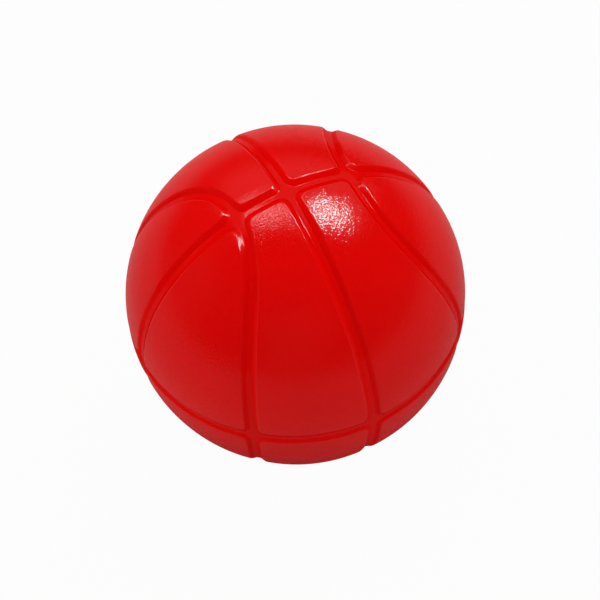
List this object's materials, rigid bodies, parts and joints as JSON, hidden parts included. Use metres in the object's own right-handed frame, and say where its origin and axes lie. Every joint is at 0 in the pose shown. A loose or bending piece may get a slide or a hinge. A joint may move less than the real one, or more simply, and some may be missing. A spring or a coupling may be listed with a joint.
{
  "type": "basketball",
  "caption": "Small moulded basketball with puffy cover panels laid in a ribbed carcass over a thread winding, an air bladder and a self-sealing needle valve.",
  "frame": {"origin": "the ball's centre", "axes": "+Z through the upper hub where four crown panels meet, X through the crossings inside the two oval seams, Y through the crossings on the front and the back"},
  "size_m": [0.1768, 0.1768, 0.1768],
  "materials": {
    "cover": "glossy moulded red with a fine leathery grain",
    "carcass": "smooth moulded red, seen on the channel floors",
    "winding": "wound undyed thread",
    "bladder": "black satin rubber",
    "valve": "matt dark red rubber",
    "core": "matt black rubber"
  },
  "bodies": {
    "root": {"crown_panel_top_front_left": "cover", "crown_panel_top_front_right": "cover", "crown_panel_top_back_left": "cover", "crown_panel_top_back_right": "cover", "crown_panel_bottom_front_left": "cover", "crown_panel_bottom_front_right": "cover", "crown_panel_bottom_back_left": "cover", "crown_panel_bottom_back_right": "cover", "side_panel_top_front_left": "cover", "side_panel_top_front_right": "cover", "side_panel_top_back_left": "cover", "side_panel_top_back_right": "cover", "side_panel_bottom_front_left": "cover", "side_panel_bottom_front_right": "cover", "side_panel_bottom_back_left": "cover", "side_panel_bottom_back_right": "cover", "carcass": "carcass", "thread_winding": "winding", "bladder": "bladder", "valve_body": "valve", "valve_core": "core"}
  },
  "joints": []
}
